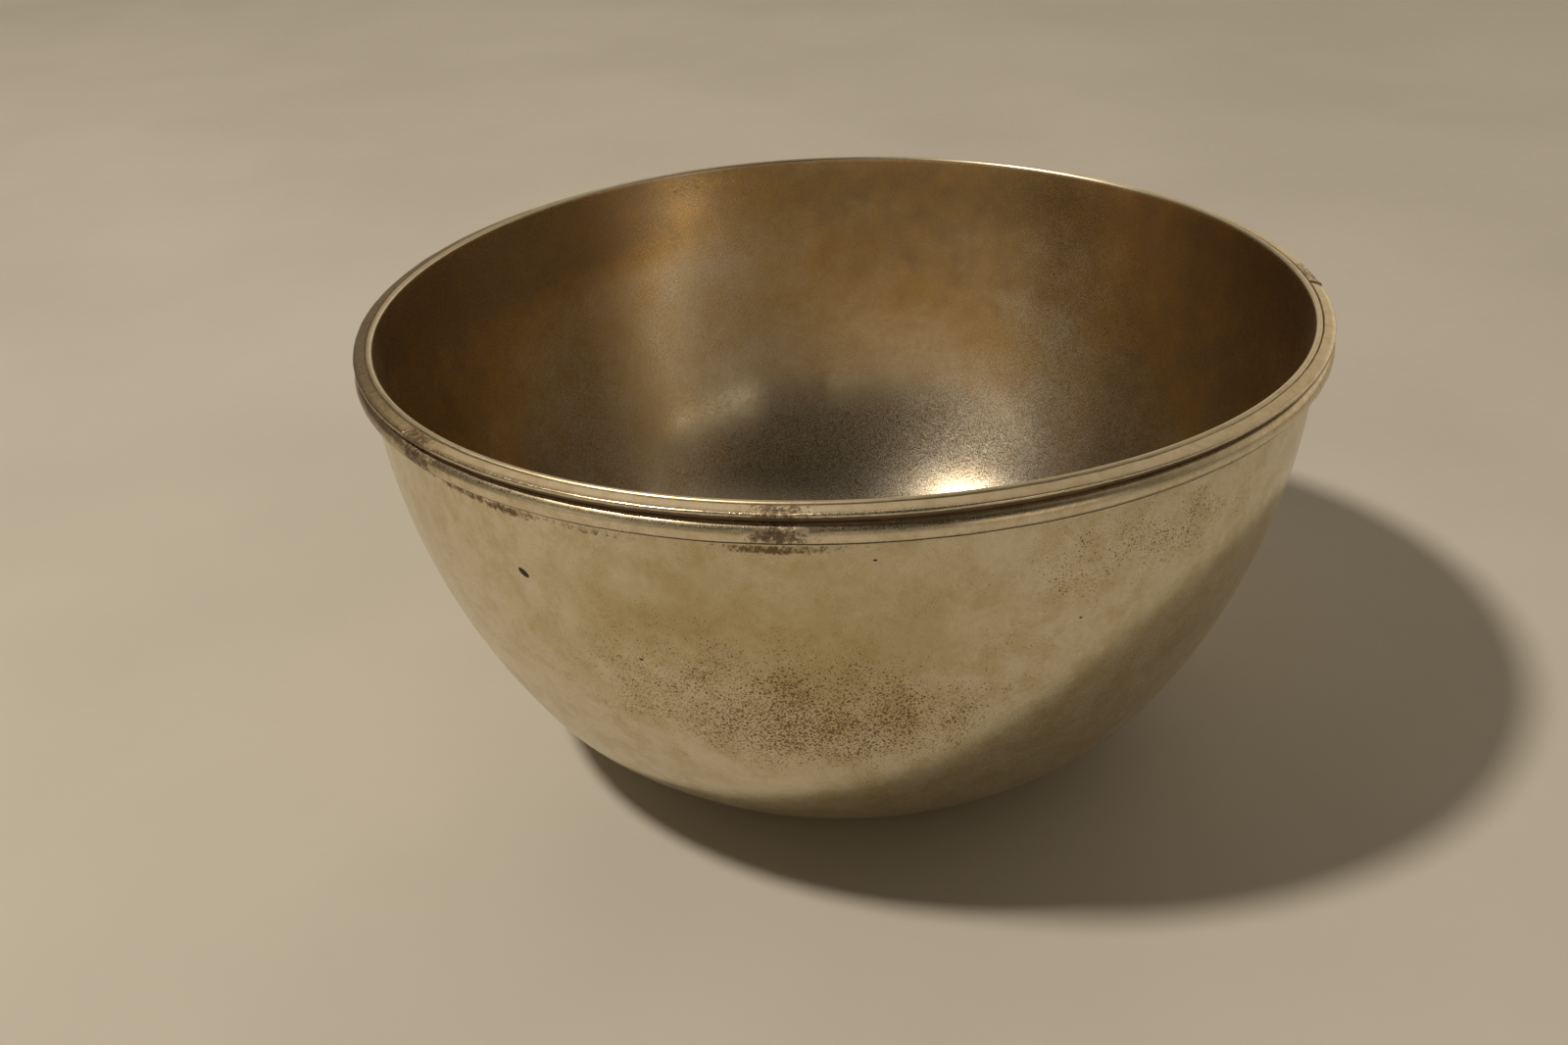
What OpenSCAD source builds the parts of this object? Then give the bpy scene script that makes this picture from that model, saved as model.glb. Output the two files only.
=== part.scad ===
// Shaving bowl: a bowl spun from sheet metal, with a drawn cap wire and a
// half-round bead wire soldered round the outside of its lip.
// Z is up, the origin is the middle of the flat base on the table, sizes are in millimetres.

/* [Bowl] */
// Diameter over the rim wires
rim_d = 115; // [94:1:140]
// Height from the table to the top of the lip
bowl_h = 56; // [45:1:69]
// Thickness of the spun sheet
sheet_t = 0.8; // [0.6:0.1:1.2]
// Diameter of the flat that the bowl rests on
base_d = 46; // [36:1:56]
// Angle that the tight lower curve turns through before the flatter side begins
heel_turn = 58; // [50:1:62]

/* [Rim wires] */
// Width of both wires, from the solder to their outer edge
wire_w = 1.5; // [1.2:0.1:2]
// Height of the cap wire at its back
cap_h = 1.4; // [1.2:0.1:1.8]
// Fall of the cap wire's top face from the lip outwards
cap_fall = 0.35; // [0.1:0.05:0.4]
// Height of the cap wire's plain outer edge
cap_edge_h = 0.5; // [0.3:0.05:0.6]
// Rounding of the cap wire's outer edge
cap_edge_r = 0.15; // [0.05:0.05:0.2]
// Depth of the cove under the cap wire's outer edge
cove_depth = 0.6; // [0.4:0.05:0.8]
// Height of the half-round bead wire
bead_h = 2.5; // [2:0.1:3]
// Width of the flats above and below the bead
bead_land = 0.55; // [0.4:0.05:0.7]
// How far the lip stands above the cap wire
lip_stand = 0.15; // [0.1:0.05:0.3]

/* [Solder] */
// Thickness of the solder between the wall and the wires
solder_t = 0.12; // [0.08:0.02:0.2]
// Side of the solder fillet under the bead
solder_leg = 0.4; // [0.3:0.05:0.5]
// Depth of the solder below the cap wire's top face
solder_sink = 0.1; // [0.05:0.05:0.2]
// Width of the soldered butt joint between the wires' ends
joint_w = 0.9; // [0.6:0.1:1.4]

/* [Hidden] */

// Smoothness of every turned face
$fn = 180;
// Plain stretch of wall between the side's curve and the solder fillet
collar_gap = 0.25;
// Places across the rim, from the outer edge inwards
rim_r = rim_d / 2;
wire_back_r = rim_r - wire_w;
wall_r = wire_back_r - solder_t;
// Heights up the rim, from the lip downwards
cap_top_z = bowl_h - lip_stand;
cap_bottom_z = cap_top_z - cap_h;
bead_bottom_z = cap_bottom_z - bead_h;
collar_z = bead_bottom_z - solder_leg - collar_gap;
// The two arcs of the wall: the lower one starts level at the edge of the flat,
// the upper one follows it smoothly and ends upright at the collar
base_r = base_d / 2;
wall_run = wall_r - base_r;
arc_det = sin(heel_turn) * cos(heel_turn) - (1 - sin(heel_turn)) * (1 - cos(heel_turn));
heel_r = (wall_run * cos(heel_turn) - (1 - sin(heel_turn)) * collar_z) / arc_det;
side_r = (sin(heel_turn) * collar_z - (1 - cos(heel_turn)) * wall_run) / arc_det;
// The bead's round face passes through the edges of its two flats
bead_half = bead_h / 2;
bead_mid_u = (wire_w * wire_w - bead_land * bead_land - bead_half * bead_half)
    / (2 * (wire_w - bead_land));
// Angle of the butt joint, seen from the bowl's axis
joint_turn = joint_w / rim_r * 180 / PI;

// A slice of a circle of radius r between two angles
module slice(r, from, to) {
    reach = r * 2;
    mid = (from + to) / 2;
    intersection() {
        circle(r);
        polygon([[0, 0], reach * [cos(from), sin(from)], reach * [cos(mid), sin(mid)],
            reach * [cos(to), sin(to)]]);
    }
}

// Half section of everything inside a wall that lies inset within the bowl's outside, up to a height
module inside_section(inset, top_z) {
    heel_out = heel_r - inset;
    side_out = side_r - inset;
    wall_out = wall_r - inset;
    heel_mid = [base_r, heel_r];
    side_mid = heel_mid + (side_r - heel_r) * [-sin(heel_turn), cos(heel_turn)];
    bend = heel_mid + heel_out * [sin(heel_turn), -cos(heel_turn)];
    translate(heel_mid) slice(heel_out, -90, heel_turn - 90);
    intersection() {
        translate(side_mid) slice(side_out, heel_turn - 90, 0);
        square([rim_r, bowl_h]);
    }
    polygon([[0, inset], [base_r, inset], bend, [wall_out, collar_z], [wall_out, top_z], [0, top_z]]);
}

// Half section of the spun sheet, from the axis to the rounded lip
module shell_section() {
    lip_r = sheet_t / 2;
    difference() {
        inside_section(0, bowl_h - lip_r);
        inside_section(sheet_t, bowl_h);
    }
    translate([wall_r - lip_r, bowl_h - lip_r]) circle(lip_r, $fn = 48);
}

// Section of the cap wire: a top face that falls outwards, a rounded edge and a cove below
module cap_section() {
    edge_top = cap_h - cap_fall;
    edge_bottom = edge_top - cap_edge_h;
    cove_r = min(cove_depth, edge_bottom);
    difference() {
        polygon([[0, 0], [wire_w, 0], [wire_w, edge_top - cap_edge_r],
            [wire_w - cap_edge_r * 0.3, edge_top - cap_edge_r * 0.3],
            [wire_w - cap_edge_r, edge_top], [0, cap_h]]);
        translate([wire_w - cove_depth + cove_r, edge_bottom - cove_r]) circle(cove_r, $fn = 48);
        translate([wire_w - cove_depth + cove_r, -1]) square([wire_w, edge_bottom + 1]);
    }
}

// Section of the bead wire: flat back, two flats and a round face
module bead_section() {
    translate([0, -bead_half]) square([bead_land, bead_h]);
    intersection() {
        translate([bead_mid_u, 0]) circle(wire_w - bead_mid_u, $fn = 96);
        translate([bead_land, -bead_half]) square([wire_w, bead_h]);
    }
}

module placed_cap_section() {
    translate([wire_back_r, cap_bottom_z]) cap_section();
}

module placed_bead_section() {
    translate([wire_back_r, cap_bottom_z - bead_half]) bead_section();
}

// Spun bowl: flat base, curved wall, upright collar and rounded lip
module bowl_shell() {
    color([0.72, 0.66, 0.52])
        rotate_extrude() shell_section();
}

// Cap wire round the lip, open at the butt joint
module cap_wire() {
    color([0.62, 0.56, 0.46])
        rotate([0, 0, joint_turn / 2])
            rotate_extrude(angle = 360 - joint_turn) placed_cap_section();
}

// Half-round bead wire under the cap wire, open at the same butt joint
module bead_wire() {
    color([0.76, 0.71, 0.58])
        rotate([0, 0, joint_turn / 2])
            rotate_extrude(angle = 360 - joint_turn) placed_bead_section();
}

// Solder run between the wall and the wires, with its fillet under the bead
module rim_solder() {
    solder_top = cap_top_z - solder_sink - bead_bottom_z;
    color([0.45, 0.42, 0.38])
        rotate_extrude()
            translate([wall_r, bead_bottom_z])
                polygon([[0, -solder_leg], [solder_leg, 0], [solder_t, 0],
                    [solder_t, solder_top], [0, solder_top]]);
}

// Solder that closes the butt joint between the wires' ends
module wire_joint() {
    color([0.50, 0.45, 0.40])
        rotate([0, 0, -joint_turn / 2])
            rotate_extrude(angle = joint_turn) {
                placed_cap_section();
                placed_bead_section();
            }
}

bowl_shell();
cap_wire();
bead_wire();
rim_solder();
wire_joint();
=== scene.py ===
"""A deep shaving bowl of plated sheet with a moulded wire rim, aged by use.

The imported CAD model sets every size. Each of its nodes is replaced by a finer surface of the
same size, worked out here with numpy, and dressed with layered tarnish, pits and wear.
Lengths are millimetres until a mesh is made, where they become metres.
"""

import logging
import math
from dataclasses import dataclass, field, replace
from enum import Enum

import bpy
import numpy as np
from mathutils import Euler, Matrix, Vector


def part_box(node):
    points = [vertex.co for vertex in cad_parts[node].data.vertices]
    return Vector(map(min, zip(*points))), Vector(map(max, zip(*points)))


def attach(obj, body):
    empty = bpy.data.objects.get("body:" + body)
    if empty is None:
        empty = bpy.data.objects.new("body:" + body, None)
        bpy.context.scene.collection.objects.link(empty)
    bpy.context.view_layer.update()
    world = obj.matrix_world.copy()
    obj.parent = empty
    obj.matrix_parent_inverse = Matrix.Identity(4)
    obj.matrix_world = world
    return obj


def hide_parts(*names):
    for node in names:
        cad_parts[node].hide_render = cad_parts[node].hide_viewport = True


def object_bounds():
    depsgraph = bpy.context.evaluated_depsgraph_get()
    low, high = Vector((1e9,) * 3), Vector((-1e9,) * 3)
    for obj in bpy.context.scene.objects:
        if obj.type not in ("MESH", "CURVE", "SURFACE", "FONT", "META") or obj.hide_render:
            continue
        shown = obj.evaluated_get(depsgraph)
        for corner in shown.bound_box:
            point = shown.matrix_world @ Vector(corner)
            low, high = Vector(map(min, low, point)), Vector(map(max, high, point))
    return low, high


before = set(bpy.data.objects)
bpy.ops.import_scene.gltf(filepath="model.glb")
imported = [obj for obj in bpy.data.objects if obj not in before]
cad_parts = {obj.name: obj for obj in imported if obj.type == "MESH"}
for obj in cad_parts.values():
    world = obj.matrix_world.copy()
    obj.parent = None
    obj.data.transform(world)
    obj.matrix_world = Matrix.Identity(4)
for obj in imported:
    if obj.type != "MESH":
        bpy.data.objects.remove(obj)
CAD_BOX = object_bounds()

log = logging.getLogger("shaving_bowl")

MM = 0.001
FULL_TURN = 2.0 * math.pi
# Lengths and angles too small to divide by, and the distance within which two points are one
TINY = 1e-9
FLATTEST = 1e-3
SAME_PLACE = 1e-6
# The map that surfaces are baked on: its name, the gap round each strip and the room for end faces
BAKE_MAP = "OFBake"
MAP_GAP = 0.004
END_ROOM = 0.06
# A red, green and blue level
Colour = tuple[float, float, float]


class Slot(Enum):
    """The record's material slots."""

    SHEET = "plated_sheet"
    WIRE = "plated_wire"
    SOLDER = "solder"


# ---------------------------------------------------------------- shapes


def node_box_mm(node: str) -> tuple[np.ndarray, np.ndarray]:
    """Returns a CAD node's lowest and highest corner in millimetres.

    Args:
        node: The CAD node's name.

    Returns:
        Two arrays of x, y and z.
    """
    low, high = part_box(node)
    return np.array(low) / MM, np.array(high) / MM


def arc(centre: tuple[float, float], radius: float, start: float, end: float, count: int) -> np.ndarray:
    """Points evenly spaced along a circle's arc: centre + radius (cos a, sin a).

    Args:
        centre: The circle's middle.
        radius: The circle's radius.
        start: First angle in degrees.
        end: Last angle in degrees.
        count: Number of points, ends included.

    Returns:
        An array of count points.
    """
    angle = np.radians(np.linspace(start, end, count))
    return np.array(centre) + radius * np.stack([np.cos(angle), np.sin(angle)], axis=1)


def stretch(start: tuple[float, float], end: tuple[float, float], count: int) -> np.ndarray:
    """Points evenly spaced along a straight line, without its end point.

    Args:
        start: First point.
        end: The point that the line stops short of.
        count: Number of points.

    Returns:
        An array of count points.
    """
    share = np.arange(count)[:, None] / count
    return np.array(start) + share * (np.array(end) - np.array(start))


def softened(
    corners: np.ndarray, radii: np.ndarray, step: float, arc_points: int = 5, most_of_side: float = 0.45
) -> np.ndarray:
    """A closed outline with each corner rounded and each side cut into short steps.

    Each corner becomes an arc that touches both of its sides: the arc starts radius times the
    tangent of half the turn before the corner, and bulges towards it.

    Args:
        corners: Corner points in order, anticlockwise.
        radii: Rounding radius at each corner.
        step: Longest step along a side.
        arc_points: Points on each rounded corner.
        most_of_side: Share of a side that the rounding at either end may take.

    Returns:
        The outline's points in order, with no point twice.
    """
    before = np.roll(corners, 1, axis=0) - corners
    after = np.roll(corners, -1, axis=0) - corners
    before_len = np.linalg.norm(before, axis=1, keepdims=True)
    after_len = np.linalg.norm(after, axis=1, keepdims=True)
    to_before, to_after = before / before_len, after / after_len
    inside = np.arccos(np.clip((to_before * to_after).sum(axis=1), -1.0, 1.0))
    reach = radii / np.tan(np.maximum(inside, FLATTEST) / 2.0)
    reach = np.minimum(reach, most_of_side * np.minimum(before_len, after_len)[:, 0])
    enter = corners + to_before * reach[:, None]
    leave = corners + to_after * reach[:, None]
    share = np.linspace(0.0, 1.0, arc_points)[None, :, None]
    # A quadratic curve from enter to leave, pulled towards the corner, is close to the arc
    rounded = (
        (1 - share) ** 2 * enter[:, None]
        + 2 * share * (1 - share) * corners[:, None]
        + share**2 * leave[:, None]
    )
    runs = []
    for index in range(len(corners)):
        runs.append(rounded[index])
        start, end = leave[index], enter[(index + 1) % len(corners)]
        pieces = max(1, int(math.ceil(np.linalg.norm(end - start) / step)))
        runs.append(start + np.linspace(0.0, 1.0, pieces + 1)[1:-1, None] * (end - start))
    outline = np.concatenate(runs)
    gap = np.linalg.norm(np.roll(outline, -1, axis=0) - outline, axis=1)
    return outline[gap > SAME_PLACE]


@dataclass(frozen=True)
class Grid:
    """The places of a turned surface before the warp, azimuths by points of its section.

    Azimuths are radians. Radii, heights and lengths along the section are millimetres.
    """

    angle: np.ndarray
    radius: np.ndarray
    height: np.ndarray
    along: np.ndarray


@dataclass(frozen=True)
class Unevenness:
    """Smooth low waves over a turned surface: a sum of cosines.

    Each wave is size * cos(turns * azimuth + length / pitch + phase), where the length runs along
    the section. The waves' sizes fall with the number of turns, so that the sum is gentle.
    """

    seed: int
    height: float
    waves: int
    most_turns: int
    shortest_pitch: float

    def at(self, grid: Grid) -> np.ndarray:
        """The unevenness at each place.

        Args:
            grid: The surface's places.

        Returns:
            Offsets with a root mean square of about height.
        """
        draw = np.random.default_rng(self.seed)
        turns = draw.integers(1, self.most_turns, self.waves)
        rate = draw.uniform(-1.0, 1.0, self.waves) / self.shortest_pitch
        phase = draw.uniform(0.0, FULL_TURN, self.waves)
        size = 1.0 / np.sqrt(turns)
        size = size * self.height * math.sqrt(2.0) / np.linalg.norm(size)
        angle = grid.angle[..., None] * turns + grid.along[..., None] * rate + phase
        return (size * np.cos(angle)).sum(axis=-1)


@dataclass(frozen=True)
class Warp:
    """How the bowl has gone out of round: the rim is wider from side to side, and lower there.

    At the rim, radius grows by spread_cos cos 2a + spread_sin sin 2a and height by
    rise_cos cos 2a + rise_sin sin 2a, where a is the azimuth. Both fade to nothing at the table
    with the height to the power fade, so that the base stays flat and round.
    """

    rim_radius: float
    rim_height: float
    spread_cos: float = 1.6
    spread_sin: float = 0.08
    rise_cos: float = -0.43
    rise_sin: float = -0.12
    fade: float = 1.5

    def bend(self, azimuth: np.ndarray, radius: np.ndarray, height: np.ndarray) -> np.ndarray:
        """Points of a turned surface after the warp.

        Args:
            azimuth: Angles in radians.
            radius: Radii before the warp.
            height: Heights before the warp.

        Returns:
            Points, with x, y and z on the last axis.
        """
        share = np.clip(height / self.rim_height, 0.0, None) ** self.fade
        cosine, sine = np.cos(2.0 * azimuth), np.sin(2.0 * azimuth)
        spread = self.spread_cos * cosine + self.spread_sin * sine
        rise = self.rise_cos * cosine + self.rise_sin * sine
        wide = radius * (1.0 + share * spread / self.rim_radius)
        return np.stack([wide * np.cos(azimuth), wide * np.sin(azimuth), height + share * rise], axis=-1)


WARP = Warp(
    rim_radius=0.5 * (CAD_BOX[1].x - CAD_BOX[0].x) / MM,
    rim_height=(CAD_BOX[1].z - CAD_BOX[0].z) / MM,
)


@dataclass(frozen=True)
class Turned:
    """A surface made by carrying a section round the bowl's axis.

    Before the warp, a point is (r(s) cos a, r(s) sin a, z(s)) for azimuth a and place s along the
    section. A looped section closes on itself and makes a ring. Any other section starts and ends
    on the axis and makes a closed shell. The section runs anticlockwise, so that faces point out.
    """

    name: str
    section: np.ndarray
    azimuth: np.ndarray
    looped: bool
    whole: bool
    strips: int
    crease_row: int = 0

    def rows(self) -> np.ndarray:
        """Numbers of the section's points that make rings: all but those on the axis."""
        count = len(self.section)
        return np.arange(count) if self.looped else np.arange(1, count - 1)

    def lengths(self) -> np.ndarray:
        """Length along the section at each of its points."""
        step = np.linalg.norm(np.diff(self.section, axis=0), axis=1)
        return np.concatenate([[0.0], np.cumsum(step)])

    def outwards(self) -> np.ndarray:
        """The section's outward direction at each point: its own direction turned a quarter clockwise.

        Returns:
            One direction of length 1 per point.
        """
        if self.looped:
            along = np.roll(self.section, -1, axis=0) - np.roll(self.section, 1, axis=0)
        else:
            along = np.gradient(self.section, axis=0)
        along = along / np.maximum(np.linalg.norm(along, axis=1, keepdims=True), TINY)
        return np.stack([along[:, 1], -along[:, 0]], axis=1)

    def grid(self) -> Grid:
        """The surface's places before anything is pushed or warped.

        Returns:
            The places, azimuths by section points.
        """
        angle, along = np.meshgrid(self.azimuth, self.lengths(), indexing="ij")
        radius, height = (np.broadcast_to(side, angle.shape) for side in self.section.T)
        return Grid(angle, radius, height, along)

    def faces(self) -> tuple[list[np.ndarray], np.ndarray]:
        """The surface's faces, and where each face corner lies on the bake map.

        Vertex i * rows + j is azimuth i and ring j. The two points on the axis come last.

        Returns:
            Arrays of faces, one row each, and the map places of their corners in order.
        """
        columns, rows = len(self.azimuth), len(self.rows())
        i = np.arange(columns if self.whole else columns - 1)
        j = np.arange(rows if self.looped else rows - 1)
        i, j = (block.ravel() for block in np.meshgrid(i, j, indexing="ij"))
        here, beside = i * rows, ((i + 1) % columns) * rows
        up = (j + 1) % rows
        blocks = [np.stack([here + j, beside + j, beside + up, here + up], axis=-1)]
        columns_of = [np.stack([i, i + 1, i + 1, i], axis=-1)]
        rows_of = [np.stack([j, j, j + 1, j + 1], axis=-1) + self.rows()[0]]
        if not self.looped:
            i = np.arange(columns)
            here, beside = i * rows, ((i + 1) % columns) * rows
            first = np.full(columns, columns * rows)
            blocks.append(np.stack([first, beside, here], axis=-1))
            columns_of.append(np.stack([i + 0.5, i + 1, i], axis=-1))
            rows_of.append(np.tile([0, 1, 1], (columns, 1)))
            blocks.append(np.stack([here + rows - 1, beside + rows - 1, first + 1], axis=-1))
            columns_of.append(np.stack([i, i + 1, i + 0.5], axis=-1))
            rows_of.append(np.tile([rows, rows, rows + 1], (columns, 1)))
        places = [self.map_places(c, r) for c, r in zip(columns_of, rows_of)]
        if self.looped and not self.whole:
            ring = np.arange(rows)
            blocks += [ring[None, :], (ring + (columns - 1) * rows)[None, ::-1]]
            places += self.end_places()
        return blocks, np.concatenate([p.reshape(-1, 2) for p in places])

    def map_places(self, column: np.ndarray, row: np.ndarray) -> np.ndarray:
        """Lays faces out on the bake map in straight strips, one above the other.

        Each strip holds an equal share of the azimuths. Azimuth runs across it and length along
        the section runs up it. A shell's outside fills the lower half and its inside the upper.

        Args:
            column: Azimuth number of each face corner, faces by corners.
            row: Section point of each face corner.

        Returns:
            Map places, with u and v on the last axis.
        """
        spans = len(self.azimuth) if self.whole else len(self.azimuth) - 1
        per_strip = math.ceil(spans / self.strips)
        strip = np.floor(column.min(axis=1, keepdims=True) / per_strip)
        across = (column - strip * per_strip) / per_strip
        lengths = self.lengths()
        total = lengths[-1]
        if self.looped:
            total += np.linalg.norm(self.section[0] - self.section[-1])
            lengths = np.concatenate([lengths, [total]])
            low, high, start = 0.0, total, 0.0
            room = 1.0 if self.whole else 1.0 - END_ROOM
        else:
            split = lengths[self.crease_row]
            inside = row.min(axis=1, keepdims=True) >= self.crease_row
            low = np.where(inside, split, 0.0)
            high = np.where(inside, total, split)
            start = np.where(inside, 0.5, 0.0)
            room = 0.5
        tall = room / self.strips
        share = (lengths[row] - low) / (high - low)
        u = MAP_GAP + across * (1.0 - 2.0 * MAP_GAP)
        v = start + strip * tall + MAP_GAP + share * (tall - 2.0 * MAP_GAP)
        return np.stack([u, v], axis=-1)

    def end_places(self) -> list[np.ndarray]:
        """Map places of an open ring's two end faces, side by side in the room above its strips.

        Returns:
            The corners' places on the first and the second end face.
        """
        low = self.section.min(axis=0)
        size = (self.section.max(axis=0) - low).max()
        flat = (self.section - low) / size * END_ROOM * 0.8
        floor = 1.0 - 0.9 * END_ROOM
        return [flat + [0.05, floor], (flat + [0.55, floor])[::-1]]

    def build(self, push: np.ndarray, paint: dict[str, np.ndarray]) -> bpy.types.Object:
        """Makes the piece's mesh object.

        Args:
            push: How far each grid place is pushed outwards, azimuths by section points.
            paint: Values over the same grid, by attribute name.

        Returns:
            The new object.
        """
        grid = self.grid()
        out = self.outwards()
        radius, height = grid.radius + push * out[:, 0], grid.height + push * out[:, 1]
        points = WARP.bend(grid.angle, radius, height)
        rings = self.rows()
        flat = [points[:, rings].reshape(-1, 3)]
        values = {label: [field_values[:, rings].ravel()] for label, field_values in paint.items()}
        if not self.looped:
            for end in (0, -1):
                flat.append(np.array([[0.0, 0.0, self.section[end, 1]]]))
                for label, field_values in paint.items():
                    values[label].append([field_values[:, end].mean()])
        blocks, corner_map = self.faces()
        columns = {label: np.concatenate(parts) for label, parts in values.items()}
        return make_mesh(self.name, np.concatenate(flat), blocks, corner_map, columns)


# ---------------------------------------------------------------- meshes


def make_mesh(
    name: str,
    points: np.ndarray,
    faces: list[np.ndarray],
    corner_map: np.ndarray,
    paint: dict[str, np.ndarray],
) -> bpy.types.Object:
    """Puts arrays of points and faces into a smooth-shaded mesh object.

    Args:
        name: The piece's name.
        points: Points in millimetres.
        faces: Arrays of faces, each with one row per face.
        corner_map: Place on the bake map of each face corner, in the faces' order.
        paint: Values per point, by attribute name.

    Returns:
        The new object, linked to the scene.
    """
    mesh = bpy.data.meshes.new(name)
    corners = np.concatenate([block.ravel() for block in faces]).astype(np.int32)
    totals = np.concatenate([np.full(len(block), block.shape[1]) for block in faces]).astype(np.int32)
    starts = np.concatenate([[0], np.cumsum(totals)[:-1]]).astype(np.int32)
    mesh.vertices.add(len(points))
    mesh.vertices.foreach_set("co", (points * MM).astype(np.float32).ravel())
    mesh.loops.add(len(corners))
    mesh.loops.foreach_set("vertex_index", corners)
    mesh.polygons.add(len(totals))
    mesh.polygons.foreach_set("loop_start", starts)
    mesh.polygons.foreach_set("use_smooth", np.ones(len(totals), dtype=bool))
    mesh.update(calc_edges=True)
    layer = mesh.uv_layers.new(name=BAKE_MAP)
    layer.data.foreach_set("uv", corner_map.astype(np.float32).ravel())
    for label, values in paint.items():
        attribute = mesh.attributes.new(label, "FLOAT", "POINT")
        attribute.data.foreach_set("value", values.astype(np.float32).ravel())
    mesh.validate()
    made = bpy.data.objects.new(name, mesh)
    bpy.context.scene.collection.objects.link(made)
    return made


# ---------------------------------------------------------------- finishes


class Board:
    """A node tree, with short ways to add the nodes that the finishes and the room use."""

    def __init__(self, tree: bpy.types.NodeTree) -> None:
        """Takes over a tree and empties it.

        Args:
            tree: The node tree.
        """
        self.tree = tree
        self.tree.nodes.clear()

    def feed(self, socket: bpy.types.NodeSocket, value: object) -> None:
        """Links a socket, or sets a constant on it.

        Args:
            socket: The input to feed.
            value: Another node's output, a number or a tuple.
        """
        if isinstance(value, bpy.types.NodeSocket):
            self.tree.links.new(value, socket)
        else:
            socket.default_value = value

    def fill(self, node: bpy.types.Node, values: dict[str | int, object]) -> None:
        """Feeds several inputs of a node.

        Args:
            node: The node.
            values: What each input gets, by the input's name or number.
        """
        for socket, value in values.items():
            self.feed(node.inputs[socket], value)

    def math(
        self, kind: str, first: object, second: object = 0.0, third: object = 0.0
    ) -> bpy.types.NodeSocket:
        """A Math node.

        Args:
            kind: The operation's name.
            first: First input.
            second: Second input.
            third: Third input.

        Returns:
            The result.
        """
        node = self.tree.nodes.new("ShaderNodeMath")
        node.operation = kind
        self.fill(node, {0: first, 1: second, 2: third})
        return node.outputs[0]

    def times(self, first: object, second: object) -> bpy.types.NodeSocket:
        """One number times another."""
        return self.math("MULTIPLY", first, second)

    def blend(self, first: object, factor: object, plus: object) -> bpy.types.NodeSocket:
        """A number times a factor, plus another number."""
        return self.math("MULTIPLY_ADD", first, factor, plus)

    def most(self, first: object, second: object) -> bpy.types.NodeSocket:
        """The larger of two numbers."""
        return self.math("MAXIMUM", first, second)

    def vector(self, kind: str, first: object, second: object) -> bpy.types.Node:
        """A Vector Math node.

        Args:
            kind: The operation's name.
            first: First input.
            second: Second input.

        Returns:
            The node.
        """
        node = self.tree.nodes.new("ShaderNodeVectorMath")
        node.operation = kind
        self.fill(node, {0: first, 1: second})
        return node

    def split(self, vector: object) -> tuple[bpy.types.NodeSocket, ...]:
        """A vector's x, y and z.

        Args:
            vector: The vector.

        Returns:
            The three numbers.
        """
        node = self.tree.nodes.new("ShaderNodeSeparateXYZ")
        self.feed(node.inputs[0], vector)
        return tuple(node.outputs)

    def span(
        self, value: object, low: float, high: float, to_low: float = 0.0, to_high: float = 1.0
    ) -> bpy.types.NodeSocket:
        """A value's smooth rise from one level to another.

        Args:
            value: The value.
            low: Where the rise starts.
            high: Where it ends.
            to_low: Result below low.
            to_high: Result above high.

        Returns:
            The result, held within its limits.
        """
        node = self.tree.nodes.new("ShaderNodeMapRange")
        node.interpolation_type = "SMOOTHSTEP"
        limits = {"From Min": low, "From Max": high, "To Min": to_low, "To Max": to_high}
        self.fill(node, {"Value": value, **limits})
        return node.outputs[0]


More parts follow.
